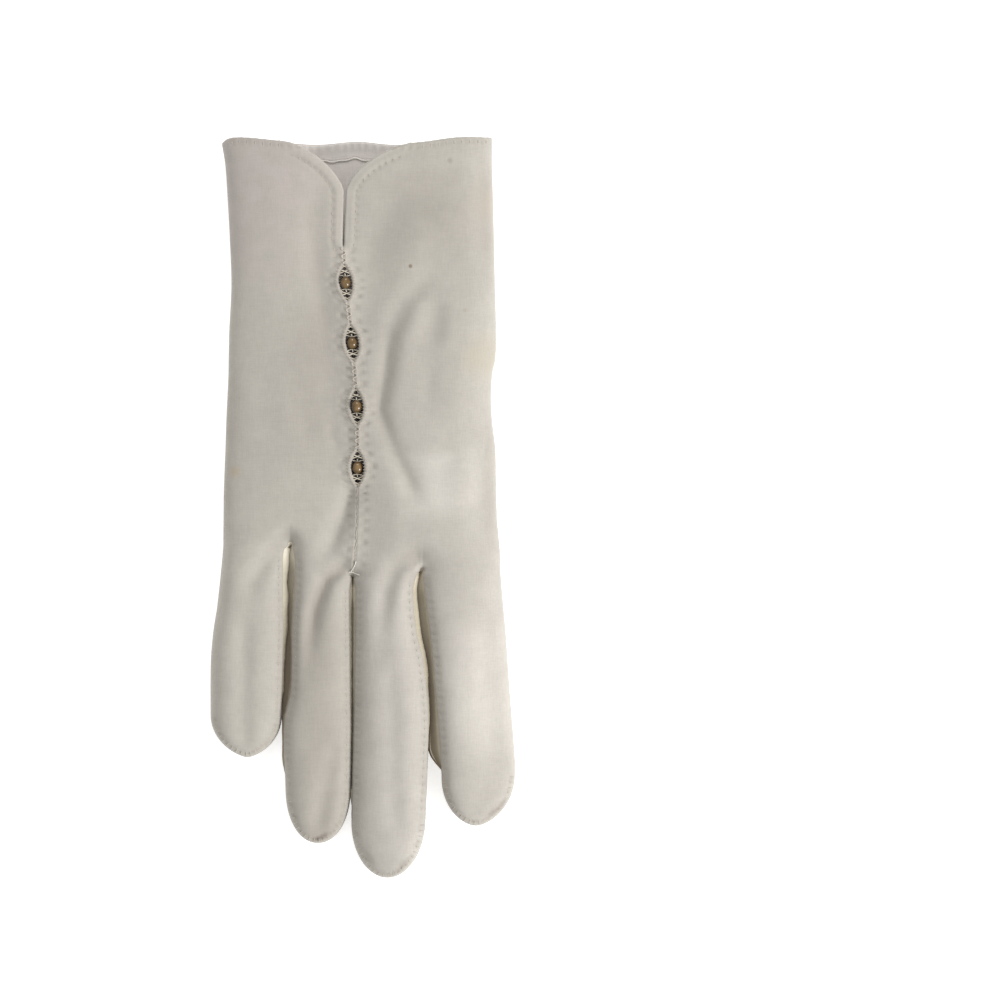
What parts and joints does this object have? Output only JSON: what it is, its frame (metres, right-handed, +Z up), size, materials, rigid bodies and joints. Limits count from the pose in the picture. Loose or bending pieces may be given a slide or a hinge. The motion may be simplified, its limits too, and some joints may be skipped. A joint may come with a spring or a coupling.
{
  "type": "wrist length dress glove, right hand",
  "caption": "Women's wrist-length cotton dress glove lying palm down, with a slit cuff and a row of open faggoted lozenges with oval beads down the back seam.",
  "frame": {"origin": "on the surface it lies on, under the middle of its bounding box", "axes": "+X towards the index finger's side, +Y from the fingertips to the cuff, +Z up from the palm to the back"},
  "size_m": [0.0914, 0.2222, 0.014],
  "materials": {
    "cotton": "matt knitted cotton",
    "fourchette_cotton": "matt knitted cotton",
    "pearl_bead": "pearly"
  },
  "bodies": {
    "root": {"hand": "cotton", "thumb": "cotton", "fourchette_little_ring": "fourchette_cotton", "fourchette_ring_middle": "fourchette_cotton", "fourchette_middle_index": "fourchette_cotton", "bead_1": "pearl_bead", "bead_2": "pearl_bead", "bead_3": "pearl_bead", "bead_4": "pearl_bead"}
  },
  "joints": []
}
